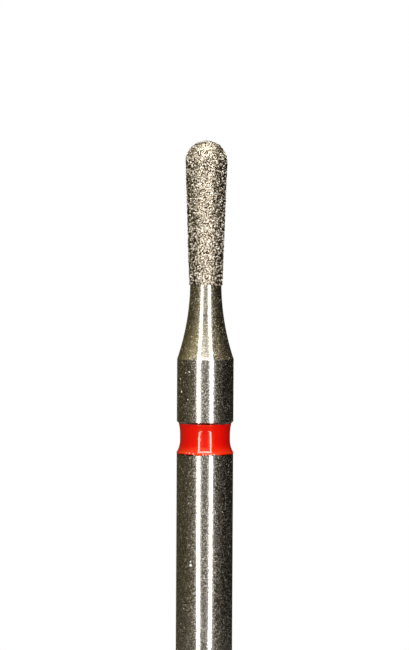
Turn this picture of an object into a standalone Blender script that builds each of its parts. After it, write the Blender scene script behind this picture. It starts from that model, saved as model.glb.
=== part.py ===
"""A friction-grip dental bur: a turned steel blank, a coat of diamond grit and an enamel colour ring.

The bur stands upright on the flat end of its shank, with its tip towards +Z and its axis on the Z axis.
Run with blender --background --python part.py, or from Blender's text editor.
"""

import math

import bpy

MM = 0.001

# Overall form, from the tip down
OVERALL_LENGTH = 19.0 * MM
SHANK_DIAMETER = 1.60 * MM
HEAD_DIAMETER = 1.20 * MM
HEAD_LENGTH = 4.06 * MM
NECK_DIAMETER = 0.88 * MM
NECK_ARC_RADIUS = 6.9 * MM
NECK_FOOT_BREAK = 0.012 * MM
UPPER_SHANK_LENGTH = 1.78 * MM
END_EDGE_RADIUS = 0.20 * MM

# Grit coat on the head
BOND_THICKNESS = 0.026 * MM
GRIT_HEIGHT = 0.022 * MM
GRIT_CELL = 0.10 * MM
GRIT_PITCH = 0.075 * MM
GRIT_SCATTER = 0.03 * MM
GRIT_CONTRAST = 1.4
COAT_OVER_NECK = 0.09 * MM

# Groove for the colour ring, cut into the shank
RING_WIDTH = 0.83 * MM
RING_SHOULDER = 0.055 * MM
GROOVE_DEPTH = 0.133 * MM
GROOVE_CORNER_RADIUS = 0.05 * MM
GROOVE_FLANK_HEIGHT = 0.34 * MM
GROOVE_LEDGE = 0.022 * MM

# Enamel in the groove: it sinks to a waist and swells to a bead at its lower edge
ENAMEL_WAIST_DEPTH = 0.088 * MM
ENAMEL_TOP_SWEEP = 0.25 * MM
ENAMEL_FLARE_RADIUS = 0.876 * MM
ENAMEL_FLARE_HEIGHT = 0.325 * MM
ENAMEL_BEAD_HEIGHT = 0.050 * MM
ENAMEL_BEAD_PROUD = 0.005 * MM

# Gap left between solids that touch on the real bur
SEAT_GAP = 0.003 * MM

# Facets
ROUND_STEPS = 44
DOME_STEPS = 9
DOME_GRIT_STEPS = 12
NECK_STEPS = 8
END_EDGE_STEPS = 4
CORNER_STEPS = 2
FLANK_STEPS = 5
SWEEP_STEPS = 4
FLARE_STEPS = 5
BEAD_STEPS = 3
MERGE_DISTANCE = 1e-8

# Rows of points this far from the shank's edges keep the smooth shading of the edges narrow
EDGE_SUPPORT = 0.03 * MM

# Radii and heights that follow from the sizes above
SHANK_RADIUS = SHANK_DIAMETER / 2
NECK_RADIUS = NECK_DIAMETER / 2
COAT_THICKNESS = BOND_THICKNESS + GRIT_HEIGHT
CORE_RADIUS = HEAD_DIAMETER / 2 - COAT_THICKNESS
TIP_CENTRE_Z = OVERALL_LENGTH - HEAD_DIAMETER / 2
RIM_Z = OVERALL_LENGTH - HEAD_LENGTH
THROAT_Z = RIM_Z + COAT_OVER_NECK
NECK_FOOT_RADIUS = SHANK_RADIUS - NECK_FOOT_BREAK
NECK_SWEEP = math.acos(1 - (NECK_FOOT_RADIUS - NECK_RADIUS) / NECK_ARC_RADIUS)
NECK_FOOT_Z = THROAT_Z - NECK_ARC_RADIUS * math.sin(NECK_SWEEP)
RING_SHOULDER_Z = NECK_FOOT_Z - NECK_FOOT_BREAK - UPPER_SHANK_LENGTH
RING_TOP_Z = RING_SHOULDER_Z - RING_SHOULDER
RING_BOTTOM_Z = RING_TOP_Z - RING_WIDTH


def head_taper():
    """Half-angle of the head's side: the line that leaves the neck's radius and grazes the tip ball."""
    rise = TIP_CENTRE_Z - THROAT_Z
    return math.asin(CORE_RADIUS / math.hypot(NECK_RADIUS, rise)) - math.atan2(NECK_RADIUS, rise)


def arc(centre_r, centre_z, radius, start, stop, steps):
    """Points (r, z) on an arc of a profile, with angles in radians from +r towards +z."""
    angles = [start + (stop - start) * i / steps for i in range(steps + 1)]
    return [(centre_r + radius * math.cos(a), centre_z + radius * math.sin(a)) for a in angles]


def dome(offset, steps):
    """The tip ball from the axis down to where the head's straight side leaves it."""
    points = arc(0.0, TIP_CENTRE_Z, CORE_RADIUS + offset, math.pi / 2, -head_taper(), steps)
    return [(0.0, points[0][1])] + points[1:]


def side_radius(z, offset):
    """Radius of the head's straight side at height z, with the surface pushed out by offset."""
    taper = head_taper()
    return (CORE_RADIUS + offset) / math.cos(taper) - (TIP_CENTRE_Z - z) * math.tan(taper)


def neck(start_z, offset, steps):
    """The neck's concave arc from start_z down, or from its throat, grown by offset."""
    begin = math.asin((THROAT_Z - start_z) / NECK_ARC_RADIUS)
    centre_r = NECK_RADIUS + NECK_ARC_RADIUS
    radius = NECK_ARC_RADIUS - offset
    return arc(centre_r, THROAT_Z, radius, math.pi + begin, math.pi + NECK_SWEEP, steps)


def groove(gap):
    """The ring groove from its top wall to its lower ledge, narrowed all round by gap."""
    floor_r = SHANK_RADIUS - GROOVE_DEPTH + gap
    corner = GROOVE_CORNER_RADIUS - gap
    top_z = RING_TOP_Z - gap
    mouth = [(SHANK_RADIUS - RING_SHOULDER, top_z)]
    upper = arc(floor_r + corner, top_z - corner, corner, math.pi / 2, math.pi, CORNER_STEPS)
    rise = GROOVE_DEPTH - GROOVE_LEDGE
    flank_radius = (GROOVE_FLANK_HEIGHT**2 + rise**2) / (2 * rise)
    sweep = math.asin(GROOVE_FLANK_HEIGHT / flank_radius)
    flank_z = RING_BOTTOM_Z + GROOVE_FLANK_HEIGHT
    centre_r = SHANK_RADIUS - GROOVE_DEPTH + flank_radius
    lower = arc(centre_r, flank_z, flank_radius - gap, math.pi, math.pi + sweep, FLANK_STEPS)
    return mouth + upper + lower


def blank_profile():
    """Half section of the steel blank, from the top of the head's core down to the end face."""
    points = dome(0.0, DOME_STEPS)
    points += neck(THROAT_Z, 0.0, NECK_STEPS)
    points += [
        (SHANK_RADIUS, NECK_FOOT_Z - NECK_FOOT_BREAK),
        (SHANK_RADIUS, NECK_FOOT_Z - NECK_FOOT_BREAK - EDGE_SUPPORT),
        (SHANK_RADIUS, RING_SHOULDER_Z + EDGE_SUPPORT),
        (SHANK_RADIUS, RING_SHOULDER_Z),
    ]
    points += groove(0.0)
    points += [
        (SHANK_RADIUS, RING_BOTTOM_Z),
        (SHANK_RADIUS, RING_BOTTOM_Z - EDGE_SUPPORT),
    ]
    inset = SHANK_RADIUS - END_EDGE_RADIUS
    points += arc(inset, END_EDGE_RADIUS, END_EDGE_RADIUS, 0.0, -math.pi / 2, END_EDGE_STEPS)
    points.append((0.0, 0.0))
    return points


def coat_profile():
    """Section of the grit coat, as its outer, gritty side down to the rim and its bore back up."""
    outer = dome(BOND_THICKNESS, DOME_GRIT_STEPS)
    start_z = outer[-1][1]
    rows = max(2, round((start_z - RIM_Z) / GRIT_PITCH))
    heights = [start_z + (RIM_Z - start_z) * i / rows for i in range(1, rows + 1)]
    outer += [(side_radius(z, BOND_THICKNESS), z) for z in heights]
    bore = neck(RIM_Z, SEAT_GAP, 1)[:1]
    bore += neck(THROAT_Z, SEAT_GAP, 1)[:1]
    bore += reversed(dome(SEAT_GAP, DOME_STEPS))
    return outer, bore


def ring_profile():
    """Closed section of the enamel ring: the open face from top to bottom, then back up the groove."""
    seat = groove(SEAT_GAP)
    top_r, top_z = seat[0]
    waist_r = SHANK_RADIUS - ENAMEL_WAIST_DEPTH
    swell = top_r - waist_r
    sweep_radius = (ENAMEL_TOP_SWEEP**2 + swell**2) / (2 * swell)
    sweep = math.asin(ENAMEL_TOP_SWEEP / sweep_radius)
    face = arc(waist_r + sweep_radius, top_z - ENAMEL_TOP_SWEEP, sweep_radius,
               math.pi - sweep, math.pi, SWEEP_STEPS)
    bottom_z = RING_BOTTOM_Z + SEAT_GAP
    bead_z = bottom_z + ENAMEL_BEAD_HEIGHT
    flare = math.asin(ENAMEL_FLARE_HEIGHT / ENAMEL_FLARE_RADIUS)
    face += arc(waist_r + ENAMEL_FLARE_RADIUS, bead_z + ENAMEL_FLARE_HEIGHT, ENAMEL_FLARE_RADIUS,
                math.pi, math.pi + flare, FLARE_STEPS)
    bead_r = face[-1][0]
    reach = SHANK_RADIUS + ENAMEL_BEAD_PROUD - bead_r
    turns = [math.pi / 2 * i / BEAD_STEPS for i in range(1, BEAD_STEPS + 1)]
    face += [(bead_r + reach * math.sin(t), bottom_z + ENAMEL_BEAD_HEIGHT * math.cos(t)) for t in turns]
    seat_back = [point for point in reversed(seat[1:]) if point[1] > bottom_z]
    return face + [(seat[-1][0], bottom_z)] + seat_back


def turned(name, profile, material, collection, closed=False, smooth=True):
    """An object whose half section is turned about the Z axis by a Screw modifier."""
    mesh = bpy.data.meshes.new(name)
    edges = [(i, i + 1) for i in range(len(profile) - 1)]
    if closed:
        edges.append((len(profile) - 1, 0))
    mesh.from_pydata([(r, 0.0, z) for r, z in profile], edges, [])
    mesh.materials.append(material)
    piece = bpy.data.objects.new(name, mesh)
    collection.objects.link(piece)
    screw = piece.modifiers.new("turning", "SCREW")
    screw.axis = "Z"
    screw.steps = ROUND_STEPS
    screw.render_steps = ROUND_STEPS
    screw.use_merge_vertices = True
    screw.merge_threshold = MERGE_DISTANCE
    screw.use_smooth_shade = smooth
    return piece


def grain_texture(name):
    """A cell pattern with one cell to a grain."""
    texture = bpy.data.textures.new(name, "VORONOI")
    texture.noise_scale = GRIT_CELL
    return texture


def add_grit(piece, outer_points):
    """Raises the outer points of the coat into irregular grains, and leaves its bore smooth."""
    gritty = piece.vertex_groups.new(name="gritty side")
    gritty.add(list(range(len(outer_points))), 1.0, "REPLACE")
    heights = grain_texture("grain heights")
    heights.noise_intensity = GRIT_CONTRAST
    raised = piece.modifiers.new("grain heights", "DISPLACE")
    raised.texture = heights
    raised.texture_coords = "LOCAL"
    raised.vertex_group = gritty.name
    raised.mid_level = 1.0
    raised.strength = -GRIT_HEIGHT
    # The rows of points crowd together at the tip, so the grains are moved less there
    loose = piece.vertex_groups.new(name="room to scatter")
    for i, point in enumerate(outer_points):
        spacing = 2 * math.pi * point[0] / ROUND_STEPS
        loose.add([i], min(1.0, spacing / GRIT_PITCH), "REPLACE")
    places = grain_texture("grain places")
    places.color_mode = "POSITION"
    scattered = piece.modifiers.new("grain places", "DISPLACE")
    scattered.texture = places
    scattered.texture_coords = "LOCAL"
    scattered.vertex_group = loose.name
    scattered.direction = "RGB_TO_XYZ"
    scattered.mid_level = 0.5
    scattered.strength = GRIT_SCATTER


def finish(name, colour, metallic, roughness, coat=0.0):
    """A Principled material."""
    material = bpy.data.materials.new(name)
    material.use_nodes = True
    shader = material.node_tree.nodes["Principled BSDF"]
    shader.inputs["Base Color"].default_value = (*colour, 1.0)
    shader.inputs["Metallic"].default_value = metallic
    shader.inputs["Roughness"].default_value = roughness
    shader.inputs["Coat Weight"].default_value = coat
    return material


def build_blank(collection):
    """The steel blank: shank, ring groove, neck and the core of the head, turned as one piece."""
    steel = finish("bright steel", (0.56, 0.53, 0.49), 1.0, 0.22)
    turned("steel_blank", blank_profile(), steel, collection)


def build_coat(collection):
    """The diamond coat: grains held in plated nickel, over the head's core and onto the neck."""
    grit = finish("nickel-bonded diamond", (0.47, 0.44, 0.38), 0.6, 0.45)
    outer, bore = coat_profile()
    coat = turned("diamond_coating", outer + bore, grit, collection, smooth=False)
    add_grit(coat, outer)


def build_ring(collection):
    """The colour ring that gives the grit size: enamel that fills the shank's groove."""
    enamel = finish("red enamel", (0.62, 0.012, 0.008), 0.0, 0.18, coat=0.6)
    turned("colour_ring", ring_profile(), enamel, collection, closed=True)


def main():
    for old in list(bpy.data.objects):
        bpy.data.objects.remove(old, do_unlink=True)
    collection = bpy.data.collections.new("dental_bur")
    bpy.context.scene.collection.children.link(collection)
    build_blank(collection)
    build_coat(collection)
    build_ring(collection)


main()
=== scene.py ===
"""The looks of a friction-grip dental bur: satin steel, a coat of diamond grit and a red enamel ring.

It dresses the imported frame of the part. The studio is a bright-field one: a horseshoe lamp in front of the
bur, dark flags at its sides that draw its dark flanks, and white all round.
"""

import logging
import math
import random
from collections.abc import Callable
from dataclasses import dataclass
from enum import Enum
from functools import partial

import bmesh
import bpy
from bmesh.types import BMesh, BMVert
from bpy.types import Material, Mesh, Node, NodeSocket, NodeTree, Object
from mathutils import Euler, Matrix, Vector, noise


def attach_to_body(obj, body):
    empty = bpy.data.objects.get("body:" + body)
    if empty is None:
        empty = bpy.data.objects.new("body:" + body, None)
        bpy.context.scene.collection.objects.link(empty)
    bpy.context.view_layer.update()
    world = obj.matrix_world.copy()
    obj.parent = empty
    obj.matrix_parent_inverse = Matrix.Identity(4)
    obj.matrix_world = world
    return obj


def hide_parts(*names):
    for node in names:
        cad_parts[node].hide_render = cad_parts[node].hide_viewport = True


MM = 0.001
MICRON = 0.000001
BODY = "root"

Colour = tuple[float, float, float]
Tones = tuple[Colour, Colour]
Range = tuple[float, float]
WHITE: Colour = (1.0, 1.0, 1.0)

log = logging.getLogger("dental bur")
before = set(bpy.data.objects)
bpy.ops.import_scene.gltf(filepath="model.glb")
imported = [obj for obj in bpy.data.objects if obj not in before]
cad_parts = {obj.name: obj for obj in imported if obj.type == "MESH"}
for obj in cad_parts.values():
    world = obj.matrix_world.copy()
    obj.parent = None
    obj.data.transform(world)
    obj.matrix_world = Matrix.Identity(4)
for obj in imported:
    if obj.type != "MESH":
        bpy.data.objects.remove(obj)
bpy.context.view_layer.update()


class Slot(Enum):
    """The record's material slots."""

    STEEL = "steel"
    GRIT = "diamond_grit"
    ENAMEL = "red_enamel"


@dataclass(frozen=True)
class Ripple:
    """Soft random bumps with finer ones over them, whose pitches are in metres."""

    pitch: float
    fine_pitch: float
    fine_share: float
    seed: float
    fine_seed: float

    def at(self, point: Vector) -> float:
        """Height of the bumps at a place, from about -1.5 to 1.5."""
        fine = noise.noise(point / self.fine_pitch + Vector([self.fine_seed] * 3))
        return noise.noise(point / self.pitch + Vector([self.seed] * 3)) + self.fine_share * fine


def arc_radius(run: float, rise: float) -> float:
    """Radius of the arc that starts along its run and ends a rise away from it."""
    return (run**2 + rise**2) / (2 * rise)


class Lathe:
    """A half section drawn in the XZ plane, which is then turned about the Z axis."""

    def __init__(self, r: float, z: float) -> None:
        """Starts the section.

        Args:
            r: radius of its first point.
            z: height of its first point.
        """
        self.shape = bmesh.new()
        self.first = self.shape.verts.new((r, 0.0, z))
        self.last = self.first

    @property
    def point(self) -> tuple[float, float]:
        """Radius and height of the last point."""
        return self.last.co.x, self.last.co.z

    def line(self, r: float, z: float, cuts: int = 1) -> None:
        """Draws a straight stretch to a point.

        Args:
            r: radius of the point.
            z: height of the point.
            cuts: how many equal stretches it is drawn in.
        """
        start = self.last.co.copy()
        end = Vector((r, 0.0, z))
        for i in range(1, cuts + 1):
            made = bmesh.ops.extrude_vert_indiv(self.shape, verts=[self.last])
            self.last = made["verts"][0]
            self.last.co = start.lerp(end, i / cuts)

    def arc(self, centre: tuple[float, float], sweep: float, steps: int) -> None:
        """Draws an arc from the last point.

        Args:
            centre: radius and height of the arc's centre.
            sweep: angle in radians, from +r towards +z.
            steps: how many stretches the arc has.
        """
        made = bmesh.ops.spin(
            self.shape,
            geom=[self.last],
            cent=(centre[0], 0.0, centre[1]),
            axis=(0.0, -1.0, 0.0),
            angle=sweep,
            steps=steps,
        )
        self.last = made["geom_last"][0]

    def close(self) -> None:
        """Joins the last point to the first."""
        self.shape.edges.new((self.last, self.first))

    def turned(self, segments: int) -> BMesh:
        """Turns the section all round.

        Args:
            segments: number of facets round the axis.

        Returns:
            The closed shape, facing outwards.
        """
        shape = self.shape
        bmesh.ops.spin(
            shape,
            geom=shape.verts[:] + shape.edges[:],
            cent=(0.0, 0.0, 0.0),
            axis=(0.0, 0.0, 1.0),
            angle=math.tau,
            steps=segments,
            use_merge=True,
        )
        bmesh.ops.remove_doubles(shape, verts=shape.verts, dist=0.01 * MICRON)
        bmesh.ops.recalc_face_normals(shape, faces=shape.faces)
        return shape


def make_object(name: str, shape: BMesh, finish: Material, smooth: bool = False) -> Object:
    """Makes a mesh object at the origin.

    Args:
        name: its name.
        shape: its mesh, which is freed.
        finish: its material.
        smooth: whether its faces are shaded smooth.

    Returns:
        The new object.
    """
    mesh = bpy.data.meshes.new(name)
    shape.to_mesh(mesh)
    shape.free()
    mesh.polygons.foreach_set("use_smooth", [smooth] * len(mesh.polygons))
    mesh.materials.append(finish)
    made = bpy.data.objects.new(name, mesh)
    bpy.context.scene.collection.objects.link(made)
    return made


def attach(piece: Object) -> None:
    """Lets a piece ride on the bur."""
    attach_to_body(piece, BODY)


def stage(thing: Object) -> None:
    """Hides a thing of the studio from the camera."""
    thing.visible_camera = False


class Effect(Enum):
    """The effects that the finishes share, by the names of their node groups."""

    GRAIN = "fine grain"
    SPOT = "spot"


class Sheet:
    """A node tree while it is filled in."""

    # The Mix node's own sockets for colours, among others of the same names
    MIX_FIRST = 6
    MIX_SECOND = 7
    MIX_RESULT = 2

    def __init__(self, tree: NodeTree) -> None:
        """Takes the tree."""
        self.tree = tree

    def node(self, kind: str, **settings: object) -> Node:
        """Adds a node.

        Args:
            kind: the node's type, without its ShaderNode prefix.
            **settings: its own settings, by name.

        Returns:
            The node.
        """
        made = self.tree.nodes.new("ShaderNode" + kind)
        for name, value in settings.items():
            setattr(made, name, value)
        return made

    def feed(self, target: NodeSocket, source: object) -> None:
        """Gives a socket a value, or links an output to it.

        Args:
            target: the socket.
            source: a value, a colour or another node's output.
        """
        if isinstance(source, NodeSocket):
            self.tree.links.new(source, target)
        elif target.type == "RGBA":
            target.default_value = (*source, 1.0)
        else:
            target.default_value = source

    def maths(self, operation: str, *values: object) -> NodeSocket:
        """Reckons with values.

        Args:
            operation: the Math node's operation.
            *values: what it works on.

        Returns:
            The result.
        """
        made = self.node("Math", operation=operation)
        for socket, value in zip(made.inputs, values):
            self.feed(socket, value)
        return made.outputs[0]

    def ramp(self, value: object, low: object, high: object, to_low: object = 0.0,
             to_high: object = 1.0) -> NodeSocket:
        """Maps a value smoothly from one range to another.

        Args:
            value: the value.
            low: where its range starts.
            high: where its range ends.
            to_low: the result at the start and below it.
            to_high: the result at the end and above it.

        Returns:
            The result.
        """
        made = self.node("MapRange", interpolation_type="SMOOTHSTEP")
        for socket, given in zip(made.inputs, (value, low, high, to_low, to_high)):
            self.feed(socket, given)
        return made.outputs[0]

    def band(self, value: object, low: float, high: float, edge: float) -> NodeSocket:
        """Picks out a range of a value.

        Args:
            value: the value.
            low: where the range starts.
            high: where it ends.
            edge: how far inside its ends the result rises from 0 to 1.

        Returns:
            1 in the range and 0 outside.
        """
        above = self.ramp(value, low, low + edge)
        below = self.ramp(value, high - edge, high, 1.0, 0.0)
        return self.maths("MULTIPLY", above, below)

    def blend(self, factor: object, first: object, second: object) -> NodeSocket:
        """Mixes two colours.

        Args:
            factor: the share of the second.
            first: one colour.
            second: the other.

        Returns:
            The mixed colour.
        """
        made = self.node("Mix", data_type="RGBA")
        self.feed(made.inputs["Factor"], factor)
        self.feed(made.inputs[self.MIX_FIRST], first)
        self.feed(made.inputs[self.MIX_SECOND], second)
        return made.outputs[self.MIX_RESULT]

    def place(self) -> NodeSocket:
        """The place on the object, in metres."""
        return self.node("TexCoord").outputs["Object"]

    def height(self) -> NodeSocket:
        """Takes the height from the place.

        Returns:
            The height on the object, in metres.
        """
        split = self.node("SeparateXYZ")
        self.feed(split.inputs[0], self.place())
        return split.outputs["Z"]

    def bump(self, relief: object, distance: float) -> NodeSocket:
        """Tips the surface as relief would.

        Args:
            relief: how much of the relief's height each place has.
            distance: the relief's height, in metres.

        Returns:
            The tipped normal.
        """
        made = self.node("Bump")
        self.feed(made.inputs["Distance"], distance)
        self.feed(made.inputs["Height"], relief)
        return made.outputs["Normal"]

    def effect(self, effect: Effect, **values: object) -> NodeSocket:
        """Adds a shared effect.

        Args:
            effect: which one.
            **values: its inputs, by name.

        Returns:
            Its result.
        """
        made = self.node("Group", node_tree=bpy.data.node_groups[effect.value])
        for name, value in values.items():
            self.feed(made.inputs[name], value)
        return made.outputs[0]


class Finish(Sheet):
    """A material while it is filled in."""

    def __init__(self, name: str, glows: bool = False) -> None:
        """Starts the material.

        Args:
            name: its name.
            glows: whether it only glows.
        """
        self.material = bpy.data.materials.new(name)
        self.material.use_nodes = True
        super().__init__(self.material.node_tree)
        self.shader = self.tree.nodes["Principled BSDF"]
        if glows:
            self.tree.nodes.clear()
            self.shader = self.node("Emission")
            self.feed(self.node("OutputMaterial").inputs["Surface"], self.shader.outputs[0])

    def give(self, name: str, source: object) -> None:
        """Feeds an input of the shader."""
        self.feed(self.shader.inputs[name], source)


def start_effect(effect: Effect, result: str, **inputs: str) -> tuple[Sheet, Node, NodeSocket]:
    """Starts a shared effect.

    Args:
        effect: which one.
        result: the name of its result, a number.
        **inputs: the kinds of its inputs, by name.

    Returns:
        Its sheet, the node that gives its inputs, and the socket that takes its result.
    """
    tree = bpy.data.node_groups.new(effect.value, "ShaderNodeTree")
    for name, kind in inputs.items():
        tree.interface.new_socket(name, in_out="INPUT", socket_type="NodeSocket" + kind)
    tree.interface.new_socket(result, in_out="OUTPUT", socket_type="NodeSocketFloat")
    given = tree.nodes.new("NodeGroupInput")
    return Sheet(tree), given, tree.nodes.new("NodeGroupOutput").inputs[result]


def make_grain() -> None:
    """Makes the shared effect of fine random grain, whose result runs from 0 to 1."""
    sheet, given, result = start_effect(Effect.GRAIN, "Grain", Size="Float", Contrast="Float", Seed="Float")
    field = sheet.node("TexNoise", noise_dimensions="4D")
    sheet.feed(field.inputs["Vector"], sheet.place())
    sheet.feed(field.inputs["W"], given.outputs["Seed"])
    sheet.feed(field.inputs["Scale"], sheet.maths("DIVIDE", 1.0, given.outputs["Size"]))
    sheet.feed(field.inputs["Detail"], 1.0)
    centred = sheet.maths("SUBTRACT", field.outputs["Fac"], 0.5)
    spread = sheet.maths("MULTIPLY", centred, given.outputs["Contrast"])
    total = sheet.maths("ADD", spread, 0.5)
    total.node.use_clamp = True
    sheet.feed(result, total)


def make_spot() -> None:
    """Makes the shared effect of a small round spot, whose result is 1 in it and 0 outside."""
    soft_from = 0.7
    sheet, given, result = start_effect(Effect.SPOT, "Spot", Centre="Vector", Radius="Float")
    away = sheet.node("VectorMath", operation="DISTANCE")
    sheet.feed(away.inputs[0], sheet.place())
    sheet.feed(away.inputs[1], given.outputs["Centre"])
    share = sheet.maths("DIVIDE", away.outputs["Value"], given.outputs["Radius"])
    sheet.feed(result, sheet.ramp(share, soft_from, 1.0, 1.0, 0.0))


@dataclass(frozen=True)
class Mark:
    """A small mark on the shank, in degrees and millimetres: a fleck of pale dust, a dark pit, the painted
    shadow beside a fleck, or a painted glint along the enamel's lip.
    """

    azimuth: float
    height: float
    radius: float
    pale: bool = True

    def centre(self, shank_radius: float) -> Vector:
        """Its place on the shank."""
        turn = math.radians(self.azimuth)
        return Vector((shank_radius * math.sin(turn), -shank_radius * math.cos(turn), self.height * MM))


MARKS = (
    Mark(-56.2, 11.93, 0.034),
    Mark(-61.6, 12.29, 0.028),
    Mark(-34.2, 12.50, 0.026),
    Mark(-43.5, 12.47, 0.018),
    Mark(-37.7, 11.72, 0.020),
    Mark(-21.6, 12.17, 0.015),
    Mark(-28.8, 7.065, 0.044),
    Mark(-29.0, 7.170, 0.026),
    # Painted shadow: a dark spot beside the pale fleck above, in the pit colour
    Mark(-25.0, 7.105, 0.026, pale=False),
    Mark(-29.5, 7.225, 0.022, pale=False),
    Mark(-2.6, 7.255, 0.022),
    Mark(-0.4, 6.72, 0.022),
    Mark(18.1, 6.38, 0.018),
    Mark(-38.0, 7.82, 0.016),
)
# Painted glints: cream spots along the enamel's lip
PAINTED_LIP_GLINTS = (
    Mark(-41.0, 10.225, 0.018),
    Mark(-33.0, 10.220, 0.020),
    Mark(-24.0, 10.205, 0.020),
    Mark(-3.6, 10.175, 0.026),
    Mark(2.0, 10.175, 0.020),
    Mark(7.5, 10.170, 0.020),
    Mark(12.2, 10.175, 0.030),
    Mark(18.5, 10.175, 0.030),
    Mark(25.5, 10.165, 0.022),
)


@dataclass(frozen=True)
class SatinSteel:
    """Fine-ground steel with painted sparkles and small marks, nickel-plated on the neck, with painted shade
    and painted glints in the groove.

    Its painted sparkles and its roughness have one value for the bare shank and one for the plated neck.
    """

    bare: Tones = ((0.36, 0.33, 0.285), (0.86, 0.835, 0.79))
    plated: Tones = ((0.36, 0.33, 0.25), (0.86, 0.82, 0.71))
    plating_edge: float = 0.01 * MM
    grain: float = 23 * MICRON
    contrast: float = 3.2
    relief: float = 0.3 * MICRON
    # Painted shade in the groove and on the shoulder, with painted glints where the grain is bright
    groove_shade_and_glint: Tones = ((0.05, 0.042, 0.03), (0.95, 0.85, 0.76))
    groove_glint_band: Range = (0.72, 0.80)
    groove_shade_overrun: float = 0.05 * MM
    # Colour of the dark pits, and of the painted shadow beside a fleck
    pit_and_painted_shadow: Colour = (0.02, 0.015, 0.01)
    dust: Colour = (0.97, 0.95, 0.88)
    # Painted sparkles: pale specks, not metallic, that stand in for glints off the ground steel
    painted_sparkle: Tones = ((0.92, 0.83, 0.69), (0.97, 0.82, 0.47))
    painted_sparkle_size: float = 33 * MICRON
    painted_sparkle_contrast: float = 2.0
    painted_sparkle_start: Range = (0.89, 0.86)
    painted_sparkle_full: float = 0.92
    roughness: Range = (0.16, 0.22)
    roughness_rise: float = 2 * MM
    speck_roughness: float = 0.50
    speck_band: Range = (0.60, 1.0)

    def material(self, foot_z: float, groove: Range, radius: float) -> Material:
        """Makes the material.

        Args:
            foot_z: height where the plated neck meets the shank.
            groove: heights of the groove's ledge and shoulder, between which the steel gets painted shade
                with painted glints.
            radius: the shank's radius, on which the marks lie.

        Returns:
            The material.
        """
        sheet = Finish("satin steel")
        tone = sheet.effect(Effect.GRAIN, Size=self.grain, Contrast=self.contrast, Seed=1.0)
        worn = sheet.effect(Effect.GRAIN, Size=self.grain, Contrast=self.contrast, Seed=5.0)
        # Painted sparkles, as pale specks that are not metallic
        painted_sparkle_field = sheet.effect(
            Effect.GRAIN, Size=self.painted_sparkle_size, Contrast=self.painted_sparkle_contrast, Seed=9.0)
        height = sheet.height()
        plated = sheet.ramp(height, foot_z - self.plating_edge, foot_z + self.plating_edge)
        ground = sheet.blend(plated, sheet.blend(tone, *self.bare), sheet.blend(tone, *self.plated))
        lit = sheet.ramp(painted_sparkle_field, sheet.ramp(plated, 0.0, 1.0, *self.painted_sparkle_start), self.painted_sparkle_full)
        outside = sheet.blend(lit, ground, sheet.blend(plated, *self.painted_sparkle))
        # Painted shade in the groove and on the shoulder, speckled with painted glints
        inside = sheet.blend(sheet.ramp(tone, *self.groove_glint_band), *self.groove_shade_and_glint)
        groove_shade_and_glint = sheet.band(height, groove[0] - self.groove_shade_overrun, groove[1], MICRON)
        marked = sheet.blend(groove_shade_and_glint, outside, inside)
        # Dust and painted sparkles are not metallic
        dust_and_painted_sparkle = lit
        for mark in MARKS:
            spot = sheet.effect(Effect.SPOT, Centre=mark.centre(radius), Radius=mark.radius * MM)
            marked = sheet.blend(spot, marked, self.dust if mark.pale else self.pit_and_painted_shadow)
            if mark.pale:
                dust_and_painted_sparkle = sheet.maths("MAXIMUM", dust_and_painted_sparkle, spot)
        sheet.give("Base Color", marked)
        sheet.give("Metallic", sheet.maths("SUBTRACT", 1.0, dust_and_painted_sparkle))
        base = sheet.ramp(height, foot_z, foot_z + self.roughness_rise, *self.roughness)
        sheet.give("Roughness", sheet.ramp(worn, *self.speck_band, base, self.speck_roughness))
        sheet.give("Normal", sheet.bump(tone, self.relief))
        return sheet.material


@dataclass(frozen=True)
class PlatedNickel:
    """The nickel that holds the grains."""

    tones: Tones = ((0.11, 0.075, 0.042), (0.90, 0.81, 0.655))
    grain: float = 30 * MICRON
    contrast: float = 4.5
    relief: float = 6 * MICRON
    roughness: float = 0.28

    def material(self) -> Material:
        """Makes the material.

        Returns:
            The material.
        """
        sheet = Finish("plated nickel")
        tone = sheet.effect(Effect.GRAIN, Size=self.grain, Contrast=self.contrast, Seed=2.0)
        sheet.give("Metallic", 1.0)
        sheet.give("Roughness", self.roughness)
        sheet.give("Base Color", sheet.blend(tone, *self.tones))
        sheet.give("Normal", sheet.bump(tone, self.relief))
        return sheet.material


@dataclass(frozen=True)
class DiamondGrain:
    """Crushed diamond: pale where a grain is bare, dark where nickel clads it, by the attribute "tone"."""

    tones: Tones = ((0.025, 0.015, 0.007), (0.98, 0.90, 0.78))
    bare_band: Range = (0.7, 0.95)
    roughness: float = 0.21
    ior: float = 2.4

    def material(self) -> Material:
        """Makes the material.

        Returns:
            The material.
        """
        sheet = Finish("diamond grain")
        tone = sheet.node("Attribute", attribute_name="tone").outputs["Fac"]
        sheet.give("Roughness", self.roughness)
        sheet.give("IOR", self.ior)
        sheet.give("Metallic", sheet.ramp(tone, *self.bare_band, 1.0, 0.0))
        sheet.give("Base Color", sheet.blend(tone, *self.tones))
        return sheet.material


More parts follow.
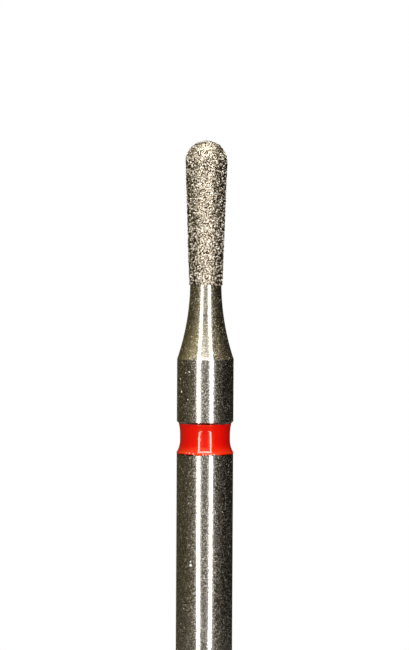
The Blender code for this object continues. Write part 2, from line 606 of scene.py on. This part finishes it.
@dataclass(frozen=True)
class RedEnamel:
    """Red enamel: a soft sheen under a clear gloss, which stops short of the bare lips."""

    tones: Tones = ((0.64, 0.0003, 0.001), (0.765, 0.003, 0.0003))
    foot: Colour = (0.80, 0.022, 0.0003)
    # Colour of the painted glints along the lip
    lip_glint: Colour = (0.95, 0.80, 0.62)
    foot_height: float = 0.26 * MM
    mottle: float = 0.35 * MM
    contrast: float = 1.6
    relief: float = 2 * MICRON
    bare_lip: float = 0.05 * MM
    roughness: float = 0.26
    sheen: float = 0.35
    sheen_tint: Colour = (1.0, 0.45, 0.0)
    gloss_roughness: float = 0.045
    gloss_ior: float = 1.65

    def material(self, low: float, high: float, radius: float) -> Material:
        """Makes the material.

        Args:
            low: height of the ring's lower edge, where the clear gloss ends.
            high: height of its upper edge.
            radius: the shank's radius, near which the painted glints lie.

        Returns:
            The material.
        """
        sheet = Finish("red enamel")
        tone = sheet.effect(Effect.GRAIN, Size=self.mottle, Contrast=self.contrast, Seed=4.0)
        height = sheet.height()
        warm = sheet.ramp(height, low, low + self.foot_height, 1.0, 0.0)
        marked = sheet.blend(warm, sheet.blend(tone, *self.tones), self.foot)
        # Painted glints: cream spots along the lip
        for lip_glint in PAINTED_LIP_GLINTS:
            spot = sheet.effect(Effect.SPOT, Centre=lip_glint.centre(radius), Radius=lip_glint.radius * MM)
            marked = sheet.blend(spot, marked, self.lip_glint)
        sheet.give("Base Color", marked)
        sheet.give("Roughness", self.roughness)
        sheet.give("Specular IOR Level", self.sheen)
        sheet.give("Specular Tint", self.sheen_tint)
        sheet.give("Coat Weight", sheet.band(height, low, high, self.bare_lip))
        sheet.give("Coat Roughness", self.gloss_roughness)
        sheet.give("Coat IOR", self.gloss_ior)
        sheet.give("Coat Normal", sheet.bump(tone, self.relief))
        return sheet.material


@dataclass
class BurForm:
    """The bur's main sizes, in metres, as in the part's own source."""

    length: float = 19 * MM
    shank_radius: float = 0.80 * MM
    core_radius: float = 0.552 * MM
    bond: float = 0.026 * MM
    grit: float = 0.022 * MM
    head_length: float = 4.06 * MM
    coat_over_neck: float = 0.09 * MM
    neck_radius: float = 0.44 * MM
    neck_arc: float = 6.9 * MM
    foot_break: float = 0.012 * MM
    upper_shank: float = 1.78 * MM
    shoulder: float = 0.055 * MM
    ring_width: float = 0.83 * MM
    groove_depth: float = 0.133 * MM
    flank_height: float = 0.34 * MM
    ledge: float = 0.022 * MM

    @property
    def tip_centre(self) -> float:
        """Height of the centre of the tip ball."""
        return self.length - self.core_radius - self.bond - self.grit

    @property
    def rim_z(self) -> float:
        """Height of the coat's lower rim."""
        return self.length - self.head_length

    @property
    def throat_z(self) -> float:
        """Height of the neck's narrowest place."""
        return self.rim_z + self.coat_over_neck

    @property
    def taper(self) -> float:
        """Works out the slant of the head's straight side, which grazes the tip ball.

        Returns:
            The side's angle to the axis.
        """
        rise = self.tip_centre - self.throat_z
        across = math.hypot(self.neck_radius, rise)
        return math.asin(self.core_radius / across) - math.atan2(self.neck_radius, rise)

    @property
    def neck_sweep(self) -> float:
        """Angle that the neck's arc turns through."""
        rise = self.shank_radius - self.foot_break - self.neck_radius
        return math.acos(1 - rise / self.neck_arc)

    @property
    def foot_z(self) -> float:
        """Height of the foot of the neck."""
        return self.throat_z - self.neck_arc * math.sin(self.neck_sweep)

    @property
    def ring_top(self) -> float:
        """Height of the groove's top wall."""
        return self.foot_z - self.foot_break - self.upper_shank - self.shoulder

    @property
    def ring_bottom(self) -> float:
        """Height of the groove's lower ledge."""
        return self.ring_top - self.ring_width

    @property
    def groove_radius(self) -> float:
        """Radius of the groove's floor."""
        return self.shank_radius - self.groove_depth

    @property
    def flank_radius(self) -> float:
        """Radius of the arc from the groove's floor out to its ledge."""
        return arc_radius(self.flank_height, self.groove_depth - self.ledge)

    @property
    def flank_sweep(self) -> float:
        """Angle that the groove's flank turns through."""
        return math.asin(self.flank_height / self.flank_radius)

    def side_radius(self, z: float, offset: float) -> float:
        """Radius of the head's straight side at a height, pushed out by offset."""
        at_centre = (self.core_radius + offset) / math.cos(self.taper)
        return at_centre - (self.tip_centre - z) * math.tan(self.taper)


@dataclass
class SteelBlank:
    """The turned steel blank: shank, groove, neck and the core of the head."""

    form: BurForm
    finish: Material
    segments: int = 160
    end_radius: float = 0.20 * MM
    corner: float = 0.05 * MM
    ledge_break: float = 0.008 * MM
    support: float = 0.02 * MM
    foot_slope: float = 22.0
    foot_rows: tuple[float, ...] = (0.15, 0.85, 1.0)
    sharp_angle: float = 35.0

    def build(self) -> Object:
        """Turns the blank.

        Returns:
            The piece.
        """
        form = self.form
        shank_r = form.shank_radius
        lathe = Lathe(0.0, form.tip_centre + form.core_radius)
        lathe.arc((0.0, form.tip_centre), -math.pi / 2 - form.taper, 24)
        lathe.line(form.neck_radius, form.throat_z)
        lathe.arc((form.neck_radius + form.neck_arc, form.throat_z), form.neck_sweep, 40)
        # A narrow even bevel at the neck's foot mirrors the lamp's crossbar
        foot_r = shank_r - form.foot_break
        drop = form.foot_break / math.tan(math.radians(self.foot_slope))
        for share in self.foot_rows:
            lathe.line(foot_r + share * form.foot_break, form.foot_z - share * drop)
        lathe.line(shank_r, form.foot_z - drop - self.support)
        shoulder_z = form.ring_top + form.shoulder
        lathe.line(shank_r, shoulder_z + self.support)
        lathe.line(shank_r, shoulder_z)
        lathe.line(shank_r - form.shoulder, form.ring_top)
        floor_r = form.groove_radius
        lathe.line(floor_r + self.corner, form.ring_top)
        lathe.arc((floor_r + self.corner, form.ring_top - self.corner), math.pi / 2, 6)
        flank_z = form.ring_bottom + form.flank_height
        lathe.line(floor_r, flank_z)
        lathe.arc((floor_r + form.flank_radius, flank_z), form.flank_sweep, 10)
        lathe.line(shank_r - self.ledge_break, form.ring_bottom)
        lathe.line(shank_r, form.ring_bottom - self.ledge_break)
        lathe.line(shank_r, form.ring_bottom - self.ledge_break - self.support)
        lathe.line(shank_r, self.end_radius, 6)
        lathe.arc((shank_r - self.end_radius, self.end_radius), -math.pi / 2, 12)
        lathe.line(0.0, 0.0)
        piece = make_object("turned_steel", lathe.turned(self.segments), self.finish, smooth=True)
        piece.data.set_sharp_from_angle(angle=math.radians(self.sharp_angle))
        attach(piece)
        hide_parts("steel_blank")
        return piece


@dataclass
class EnamelRing:
    """The enamel in the shank's groove."""

    form: BurForm
    finish: Material
    segments: int = 240
    gap: float = 0.003 * MM
    waist_depth: float = 0.093 * MM
    top_sweep: float = 0.36 * MM
    flare_height: float = 0.279 * MM
    slope: float = 23.5
    slope_height: float = 0.030 * MM
    slope_lift: float = 0.030 * MM
    hollow: float = 0.036 * MM
    hollow_end: float = 60.0
    bead_height: float = 0.032 * MM
    bead_proud: float = 0.005 * MM
    back_chamfer: float = 0.05 * MM
    lip: float = 0.030 * MM
    lip_wander: float = 0.022 * MM
    lip_ripple: Ripple = Ripple(0.32 * MM, 0.08 * MM, 0.45, 0.0, 7.0)

    def build(self) -> Object:
        """Turns the ring and lets its lower edge run a little over the shank.

        Returns:
            The piece.
        """
        form = self.form
        top_z = form.ring_top - self.gap
        bottom_z = form.ring_bottom + self.gap
        lathe = Lathe(form.shank_radius - form.shoulder, top_z)
        self.draw_front(lathe, bottom_z)
        # The back follows the groove
        lathe.line(form.shank_radius - form.ledge, bottom_z)
        flank = (form.groove_radius + form.flank_radius, bottom_z + form.flank_height)
        lathe.arc(flank, -form.flank_sweep, 8)
        lathe.line(lathe.point[0], top_z - self.back_chamfer)
        lathe.line(form.shank_radius - form.shoulder - self.back_chamfer, top_z)
        lathe.close()
        shape = lathe.turned(self.segments)
        for vert in shape.verts:
            if vert.co.z < bottom_z - 0.1 * self.lip:
                run = self.lip_ripple.at(Vector((vert.co.x, vert.co.y, 0.0)))
                vert.co.z -= (bottom_z - vert.co.z) / self.lip * self.lip_wander * run
        piece = make_object("enamel_ring", shape, self.finish, smooth=True)
        attach(piece)
        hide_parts("colour_ring")
        return piece

    def draw_front(self, lathe: Lathe, bottom_z: float) -> None:
        """Draws the ring's face, from the groove's top wall down to the lip.

        Args:
            lathe: the section, which is at the top of the face.
            bottom_z: height of the ring's foot.
        """
        shank_r = self.form.shank_radius
        top_r, top_z = lathe.point
        waist_r = shank_r - self.waist_depth
        sweep_r = arc_radius(self.top_sweep, top_r - waist_r)
        lathe.arc((waist_r + sweep_r, top_z - self.top_sweep), math.asin(self.top_sweep / sweep_r), 16)
        slope_top = bottom_z + self.bead_height + 0.5 * self.slope_height + self.slope_lift
        flare = math.radians(self.slope)
        flare_r = self.flare_height / math.sin(flare)
        lathe.line(waist_r, slope_top + self.flare_height, 4)
        lathe.arc((waist_r + flare_r, slope_top + self.flare_height), flare, 20)
        # A short even slope mirrors the lamp's crossbar, and a tight hollow turns it out into the bead
        r, z = lathe.point
        lathe.line(r + self.slope_height * math.tan(flare), z - self.slope_height, 3)
        r, z = lathe.point
        turn_in = math.radians(self.hollow_end)
        centre = (r + self.hollow * math.cos(flare), z + self.hollow * math.sin(flare))
        lathe.arc(centre, turn_in - flare, 6)
        r, z = lathe.point
        bead = (shank_r + self.bead_proud - r) / (1 - math.cos(turn_in))
        lathe.arc((r - bead * math.cos(turn_in), z - bead * math.sin(turn_in)), -turn_in, 8)
        lathe.line(shank_r + 0.5 * self.bead_proud, bottom_z - 0.6 * self.lip, 2)
        lathe.line(shank_r - self.gap, bottom_z - self.lip)


@dataclass
class GritCoat:
    """The diamond coat on the head: plated nickel, with grains sunk in it."""

    form: BurForm
    nickel: Material
    diamond: Material
    segments: int = 176
    row: float = 0.022 * MM
    bump: float = 0.007 * MM
    bump_end: float = 0.02 * MM
    bump_ripple: Ripple = Ripple(0.050 * MM, 0.025 * MM, 0.5, 0.0, 3.0)
    step_in: float = 0.004 * MM
    step_down: float = 0.012 * MM
    root_depth: float = 0.01 * MM
    rim_band: float = 0.1 * MM
    rim_wander: float = 0.028 * MM
    rim_ripple: Ripple = Ripple(0.16 * MM, 0.05 * MM, 0.6, 11.0, 13.0)
    grain_kinds: int = 14
    grain_cube: float = 1.25
    grain_corners: Range = (0.72, 1.15)
    grain_stretch: Range = (0.8, 1.15)
    grain_spacing: float = 0.040 * MM
    grain_radius: Range = (0.018 * MM, 0.029 * MM)
    grain_sunk: Range = (0.05, 0.50)
    grain_overrun: float = 0.01 * MM
    grain_tries: int = 90000
    proud_height: float = 18.31 * MM
    proud_radius: float = 0.058 * MM
    tone_contrast: float = 12.0
    tone_bias: float = 1.8
    seed: int = 705

    @property
    def ball(self) -> float:
        """Radius of the nickel's round tip."""
        return self.form.core_radius + self.form.bond

    @property
    def dome(self) -> float:
        """Length of the nickel's outer profile over the round tip."""
        return self.ball * (math.pi / 2 + self.form.taper)

    @property
    def side_top(self) -> float:
        """Height where the round tip meets the straight side."""
        return self.form.tip_centre - self.ball * math.sin(self.form.taper)

    @property
    def reach(self) -> float:
        """Length of the nickel's outer profile, from the tip to the rim."""
        return self.dome + (self.side_top - self.form.rim_z) / math.cos(self.form.taper)

    def outer_point(self, along: float) -> tuple[float, float, float]:
        """A point of the nickel's outer profile.

        Args:
            along: how far down the profile it is from the tip, in metres.

        Returns:
            Its radius, its height and the angle of its normal above the horizontal.
        """
        form = self.form
        if along < self.dome:
            angle = math.pi / 2 - along / self.ball
            return self.ball * math.cos(angle), form.tip_centre + self.ball * math.sin(angle), angle
        z = self.side_top - (along - self.dome) * math.cos(form.taper)
        return form.side_radius(z, form.bond), z, -form.taper

    def build_bond(self) -> Object:
        """Turns the nickel coat and gives it its bumps and its ragged rim.

        Returns:
            The piece.
        """
        form = self.form
        lathe = Lathe(0.0, form.tip_centre + self.ball)
        dome_rows = round(self.ball * math.pi / 2 / self.row)
        lathe.arc((0.0, form.tip_centre), -math.pi / 2 - form.taper, dome_rows)
        side_rows = round((lathe.point[1] - form.rim_z) / self.row)
        lathe.line(form.side_radius(form.rim_z, form.bond), form.rim_z, side_rows)
        lathe.line(form.neck_radius - self.step_in, form.rim_z - self.step_down, 2)
        lathe.line(form.neck_radius - self.step_in, form.throat_z)
        lathe.line(form.core_radius - self.root_depth, form.tip_centre)
        lathe.arc((0.0, form.tip_centre), math.pi / 2, 10)
        shape = lathe.turned(self.segments)
        for vert in shape.verts:
            self.roughen(vert)
        piece = make_object("nickel_bond", shape, self.nickel, smooth=True)
        attach(piece)
        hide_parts("diamond_coating")
        return piece

    def roughen(self, vert: BMVert) -> None:
        """Moves a point of the nickel's outside by its bumps, and near the rim by its raggedness.

        Args:
            vert: the point.
        """
        form = self.form
        out = Vector((vert.co.x, vert.co.y, max(0.0, vert.co.z - form.tip_centre)))
        if out.length < 0.0001 * MM:
            return
        skin = form.core_radius + 0.5 * form.bond
        if vert.co.z < form.tip_centre:
            skin = form.side_radius(vert.co.z, 0.5 * form.bond)
        if vert.co.z > form.rim_z - self.bump_end and out.length > skin:
            vert.co += out.normalized() * self.bump * self.bump_ripple.at(vert.co)
        near_rim = 1.0 - (vert.co.z - form.rim_z) / self.rim_band
        if near_rim > 0.0:
            run = self.rim_ripple.at(Vector((vert.co.x, vert.co.y, 0.0)))
            vert.co.z += min(1.0, near_rim) * self.rim_wander * run

    def crush_grains(self, chance: random.Random) -> list[Mesh]:
        """Makes a few crushed grains of unit radius, each with its own corners knocked about.

        Args:
            chance: the source of random numbers.

        Returns:
            The meshes.
        """
        kinds = []
        for i in range(self.grain_kinds):
            shape = bmesh.new()
            if i % 2:
                bmesh.ops.create_cube(shape, size=self.grain_cube)
            else:
                bmesh.ops.create_icosphere(shape, subdivisions=1, radius=1.0)
            for vert in shape.verts:
                vert.co *= chance.uniform(*self.grain_corners)
            stretch = [chance.uniform(*self.grain_stretch) for _ in range(3)]
            bmesh.ops.scale(shape, verts=shape.verts, vec=stretch)
            hull = bmesh.ops.convex_hull(shape, input=shape.verts)
            inside = [item for item in hull["geom_interior"] if isinstance(item, BMVert)]
            bmesh.ops.delete(shape, geom=inside, context="VERTS")
            bmesh.ops.recalc_face_normals(shape, faces=shape.faces)
            mesh = bpy.data.meshes.new("grain kind")
            shape.to_mesh(mesh)
            shape.free()
            kinds.append(mesh)
        return kinds

    def grain_places(self, chance: random.Random) -> list[tuple[float, float]]:
        """Scatters places over the coat, none nearer to another than the grains' spacing.

        Args:
            chance: the source of random numbers.

        Returns:
            How far down the profile each is, and its angle round the axis.
        """
        cells: dict[tuple[int, int, int], Vector] = {}
        places = []
        for _ in range(self.grain_tries):
            along = chance.uniform(0.0, self.reach + self.grain_overrun)
            turn = chance.uniform(0.0, math.tau)
            r, z, _ = self.outer_point(along)
            if chance.random() > r / self.ball:
                continue
            point = Vector((r * math.cos(turn), r * math.sin(turn), z))
            cell = tuple(math.floor(c / self.grain_spacing) for c in point)
            near = [
                cells.get((cell[0] + i, cell[1] + j, cell[2] + k))
                for i in (-1, 0, 1) for j in (-1, 0, 1) for k in (-1, 0, 1)
            ]
            if any(other is not None and (other - point).length < self.grain_spacing for other in near):
                continue
            cells[cell] = point
            places.append((along, turn))
        return places

    def build_grains(self) -> Object:
        """Sinks the grains into the nickel, the proud one first.

        Returns:
            The piece.
        """
        chance = random.Random(self.seed)
        kinds = self.crush_grains(chance)
        shape = bmesh.new()
        tones: list[float] = []
        proud = self.reach - (self.proud_height - self.form.rim_z) / math.cos(self.form.taper)
        for along, turn in [(proud, 0.0), *self.grain_places(chance)]:
            r, z, tilt = self.outer_point(along)
            radius = chance.uniform(*self.grain_radius) if along != proud else self.proud_radius
            sunk = chance.uniform(*self.grain_sunk) * radius
            out = r - sunk * math.cos(tilt)
            centre = Vector((out * math.cos(turn), out * math.sin(turn), z - sunk * math.sin(tilt)))
            facing = Euler([chance.uniform(0.0, math.tau) for _ in range(3)])
            pose = Matrix.LocRotScale(centre, facing, Vector((radius, radius, radius)))
            kind = chance.choice(kinds)
            kind.transform(pose)
            shape.from_mesh(kind)
            kind.transform(pose.inverted())
            lit = chance.random() ** self.tone_contrast if along != proud else 0.0
            dull = chance.random() ** self.tone_contrast
            tones += [(lit / (lit + dull)) ** self.tone_bias] * len(kind.polygons)
        for kind in kinds:
            bpy.data.meshes.remove(kind)
        piece = make_object("diamond_grains", shape, self.diamond)
        attach(piece)
        piece.data.attributes.new("tone", "FLOAT", "FACE").data.foreach_set("value", tones)
        return piece


def card_shape(radius: float, azimuths: Range, heights: Range) -> BMesh:
    """A sheet bent round the bur's axis.

    Args:
        radius: its distance from the axis.
        azimuths: where it starts and stops, in degrees to the right of the camera's side.
        heights: heights of its lower and upper edges.

    Returns:
        The sheet.
    """
    shape = bmesh.new()
    begin, end = (math.radians(azimuth) for azimuth in azimuths)
    ends = [shape.verts.new((radius * math.sin(begin), -radius * math.cos(begin), z)) for z in heights]
    edge = shape.edges.new(ends)
    bmesh.ops.spin(
        shape,
        geom=[*ends, edge],
        cent=(0.0, 0.0, 0.0),
        axis=(0.0, 0.0, 1.0),
        angle=end - begin,
        steps=max(2, round((azimuths[1] - azimuths[0]) / 5)),
    )
    return shape


def bent_strip(radius: float, width: float, heights: Range, middle: Callable[[float], float]) -> BMesh:
    """A narrow upright sheet whose azimuth changes with its height.

    Args:
        radius: its distance from the axis.
        width: its width, in degrees.
        heights: heights of its lower and upper edges.
        middle: gives the azimuth of its middle, in degrees, at a height.

    Returns:
        The sheet.
    """
    shape = bmesh.new()
    bmesh.ops.create_grid(shape, x_segments=3, y_segments=48, size=0.5)
    for vert in shape.verts:
        z = heights[0] + (vert.co.y + 0.5) * (heights[1] - heights[0])
        turn = math.radians(middle(z) + vert.co.x * width)
        vert.co = (radius * math.sin(turn), -radius * math.cos(turn), z)
    return shape


@dataclass(frozen=True)
class Flag:
    """A bent card that only polished metal and gloss see, with one colour low down and one high up."""

    name: str
    azimuths: Range
    colours: Tones
    change: Range = (17 * MM, 27 * MM)
    heights: Range = (-1 * MM, 44 * MM)
    radius: float = 26 * MM

    def build(self) -> None:
        """Sets the flag up."""
        sheet = Finish(self.name, glows=True)
        rise = sheet.ramp(sheet.height(), *self.change)
        sheet.give("Color", sheet.blend(rise, *self.colours))
        sheet.material.cycles.emission_sampling = "NONE"
        card = make_object(self.name, card_shape(self.radius, self.azimuths, self.heights), sheet.material)
        stage(card)
        card.visible_diffuse = False
        card.visible_shadow = False


FAR = 80 * MM
FLAGS = (
    Flag("front_card", (-60.0, 60.0), ((0.11, 0.10, 0.08), (0.18, 0.165, 0.14)),
         (-12 * MM, 10 * MM), (-40 * MM, 12 * MM), FAR),
    Flag("front_card_top", (-60.0, 60.0), ((0.24, 0.22, 0.185), (0.10, 0.09, 0.07)),
         (14 * MM, 40 * MM), (12 * MM, 90 * MM), FAR),
    Flag("flag_left_front", (-75.0, -36.0), ((0.095, 0.08, 0.045), (0.47, 0.41, 0.23)),
         heights=(-1 * MM, 29 * MM)),
    Flag("flag_left_back", (-171.0, -75.0), ((0.06, 0.05, 0.024), (0.34, 0.30, 0.16))),
    Flag("flag_right_front", (42.0, 75.0), ((0.050, 0.042, 0.027), (0.20, 0.17, 0.105)),
         change=(16.5 * MM, 26 * MM)),
    Flag("flag_right_back", (75.0, 171.0), ((0.013, 0.011, 0.007), (0.12, 0.10, 0.06))),
)


@dataclass(frozen=True)
class SoftLamp:
    """A square lamp that faces the bur. Its radiance says how bright its face is."""

    name: str
    place: Vector
    side: float
    radiance: float
    glossy: bool
    colour: Colour = WHITE

    def build(self, aim: Vector) -> None:
        """Sets the lamp up.

        Args:
            aim: the place that it faces.
        """
        data = bpy.data.lights.new(self.name, "AREA")
        data.color = self.colour
        data.shape = "SQUARE"
        data.size = self.side
        data.energy = self.radiance * math.pi * self.side**2
        lamp = bpy.data.objects.new(self.name, data)
        bpy.context.scene.collection.objects.link(lamp)
        lamp.location = self.place
        lamp.rotation_mode = "QUATERNION"
        lamp.rotation_quaternion = (aim - self.place).to_track_quat("-Z", "Y")
        lamp.visible_camera = False
        lamp.visible_glossy = self.glossy


OVERHEAD = SoftLamp("overhead lamp", Vector((0.0, -0.02, 0.11)), 0.08, 3.2, True, (1.0, 0.96, 0.83))
REAR = SoftLamp("rear lamp", Vector((0.0, 0.10, 0.06)), 0.09, 0.4, False)


@dataclass(frozen=True)
class Glow:
    """A lamp's plain glow."""

    name: str
    colour: Colour
    strength: float

    def material(self) -> Material:
        """Makes the material.

        Returns:
            The material.
        """
        sheet = Finish(self.name, glows=True)
        sheet.give("Color", self.colour)
        sheet.give("Strength", self.strength)
        return sheet.material


@dataclass
class Studio:
    """The camera, the lamps, the flags and the floor.

    The main lamp is a horseshoe of two strips and a crossbar, with a dim rim inside each strip and a dim
    veil under the crossbar. Its strips hook in at their feet, lean out above and spread at their tops.
    Polished metal mirrors the floor in its own colours, darker near the bur.
    """

    focal_pixels: float = 2660.0
    frame_height: float = 650.0
    sensor: float = 36.0
    clip: Range = (1 * MM, 2.0)
    distance: float = 75.1 * MM
    elevation: float = 2.2
    roll: float = 0.30
    aim_x: float = -0.031 * MM
    aim_z: float = 13.79 * MM
    lamp: Glow = Glow("lamp", (1.0, 0.985, 0.975), 10.5)
    lamp_radius: float = 75 * MM
    lamp_azimuth: float = 24.2
    lamp_width: float = 7.6
    lamp_low: float = -11 * MM
    lamp_bar_low: float = 72.5 * MM
    lamp_high: float = 84 * MM
    leans: Range = (3.2, 1.6)
    lean_height: float = 15 * MM
    spread: float = 5.0
    spread_low: float = 48 * MM
    hook: float = 8.5
    hook_top: float = -7 * MM
    rim: Glow = Glow("lamp rim", (1.0, 0.98, 0.96), 0.50)
    rim_inner: float = 13.0
    veil: Glow = Glow("lamp veil", (1.0, 0.97, 0.94), 0.6)
    veil_low: float = 42 * MM
    back: Glow = Glow("lamp back", (1.0, 0.985, 0.96), 1.6)
    back_azimuths: Range = (171.0, 189.0)
    back_heights: Range = (-12 * MM, 60 * MM)
    fill: float = 0.20
    floor_radius: float = 24 * MM
    floor_colour: Colour = (0.80, 0.79, 0.77)
    floor_roughness: float = 0.9
    floor_glow: float = 0.55
    floor_mirrored: Tones = ((0.06, 0.05, 0.035), (0.22, 0.21, 0.19))
    floor_change: Range = (1 * MM, 12 * MM)

    def camera(self) -> None:
        """Places the camera where the photograph was taken from."""
        data = bpy.data.cameras.new("camera")
        data.sensor_width = self.sensor
        data.lens = self.focal_pixels / self.frame_height * self.sensor
        data.clip_start, data.clip_end = self.clip
        made = bpy.data.objects.new("camera", data)
        bpy.context.scene.collection.objects.link(made)
        tilt = math.radians(self.elevation)
        back = Vector((0.0, -math.cos(tilt), math.sin(tilt)))
        made.location = Vector((self.aim_x, 0.0, self.aim_z)) + back * self.distance
        facing = (-back).to_track_quat("-Z", "Y").to_matrix().to_4x4()
        roll = Matrix.Rotation(math.radians(self.roll), 4, "Z")
        made.matrix_world = Matrix.Translation(made.location) @ facing @ roll
        bpy.context.scene.camera = made

    def lamps(self) -> None:
        """Sets up the horseshoe lamp, and the soft lamps overhead and behind."""
        lit = self.lamp.material()
        for name, side, lean in zip(("lamp_left", "lamp_right"), (-1, 1), self.leans):
            strip = bent_strip(self.lamp_radius, self.lamp_width, (self.lamp_low, self.lamp_high),
                               partial(self.strip_azimuth, side, lean))
            stage(make_object(name, strip, lit))
        inner = self.lamp_azimuth - self.lamp_width / 2
        bar_end = inner + self.spread
        bar = card_shape(self.lamp_radius, (-bar_end, bar_end), (self.lamp_bar_low, self.lamp_high))
        stage(make_object("lamp_top", bar, lit))
        dim = self.rim.material()
        strips = {"lamp_rim_left": (-inner, -self.rim_inner), "lamp_rim_right": (self.rim_inner, inner)}
        for name, azimuths in strips.items():
            strip = card_shape(self.lamp_radius, azimuths, (self.hook_top, self.veil_low))
            stage(make_object(name, strip, dim))
        veil = card_shape(self.lamp_radius, (-inner, inner), (self.veil_low, self.lamp_bar_low))
        stage(make_object("lamp_veil", veil, self.veil.material()))
        aim = Vector((0.0, 0.0, self.aim_z))
        OVERHEAD.build(aim)
        back = card_shape(self.lamp_radius, self.back_azimuths, self.back_heights)
        stage(make_object("lamp_back", back, self.back.material()))
        REAR.build(aim)

    def strip_azimuth(self, side: int, lean: float, z: float) -> float:
        """Azimuth of a lamp strip at a height.

        Args:
            side: -1 on the left, 1 on the right.
            lean: how many degrees it leans out over the lean's height.
            z: the height.

        Returns:
            The azimuth, in degrees.
        """
        rise = min(1.0, max(0.0, (z - self.hook_top) / self.lean_height))
        bend = max(0.0, (self.hook_top - z) / (self.hook_top - self.lamp_low))
        wider = max(0.0, (z - self.spread_low) / (self.lamp_high - self.spread_low))
        return side * (self.lamp_azimuth + lean * rise + self.spread * wider - self.hook * bend**2)

    def floor(self) -> None:
        """Lays the pale floor, which the camera sees as white wherever no shadow falls."""
        shape = bmesh.new()
        bmesh.ops.create_circle(shape, cap_ends=True, radius=self.floor_radius, segments=128)
        sheet = Finish("pale floor")
        path = sheet.node("LightPath")
        far = sheet.node("VectorMath", operation="LENGTH")
        sheet.feed(far.inputs[0], sheet.place())
        away = sheet.ramp(far.outputs["Value"], *self.floor_change)
        mirrored = sheet.blend(away, *self.floor_mirrored)
        sheet.give("Base Color", sheet.blend(path.outputs["Is Glossy Ray"], self.floor_colour, mirrored))
        sheet.give("Roughness", self.floor_roughness)
        sheet.give("Emission Color", WHITE)
        glow = sheet.maths("MULTIPLY", path.outputs["Is Camera Ray"], self.floor_glow)
        sheet.give("Emission Strength", glow)
        make_object("floor", shape, sheet.material)

    def world(self) -> None:
        """Makes the surroundings: white to look at, and a soft fill as light."""
        world = bpy.data.worlds.new("studio white")
        bpy.context.scene.world = world
        world.use_nodes = True
        sheet = Sheet(world.node_tree)
        background = world.node_tree.nodes["Background"]
        path = sheet.node("LightPath")
        seen = sheet.maths("MAXIMUM", path.outputs["Is Camera Ray"], path.outputs["Is Glossy Ray"])
        seen = sheet.maths("MAXIMUM", seen, path.outputs["Is Transmission Ray"])
        sheet.feed(background.inputs["Strength"], sheet.ramp(seen, 0.0, 1.0, self.fill, 1.0))
        sheet.feed(background.inputs["Color"], WHITE)

    def build(self) -> None:
        """Sets up the whole studio."""
        self.camera()
        self.lamps()
        for flag in FLAGS:
            flag.build()
        self.floor()
        self.world()
        bpy.context.scene.view_settings.view_transform = "Standard"


def main() -> None:
    """Builds the bur's pieces and the studio."""
    logging.basicConfig(level=logging.INFO, format="%(message)s")
    form = BurForm()
    make_grain()
    make_spot()
    # The steel between these heights gets painted shade and painted glints
    groove = (form.ring_bottom, form.ring_top + form.shoulder)
    steel = SatinSteel().material(form.foot_z, groove, form.shank_radius)
    enamel = RedEnamel().material(form.ring_bottom, form.ring_top, form.shank_radius)
    coat = GritCoat(form, PlatedNickel().material(), DiamondGrain().material())
    pieces = [
        SteelBlank(form, steel).build(),
        EnamelRing(form, enamel).build(),
        coat.build_bond(),
        coat.build_grains(),
    ]
    for piece in pieces:
        piece.data.calc_loop_triangles()
        log.info("%s: %d triangles", piece.name, len(piece.data.loop_triangles))
    Studio().build()


if __name__ == "__main__":
    main()
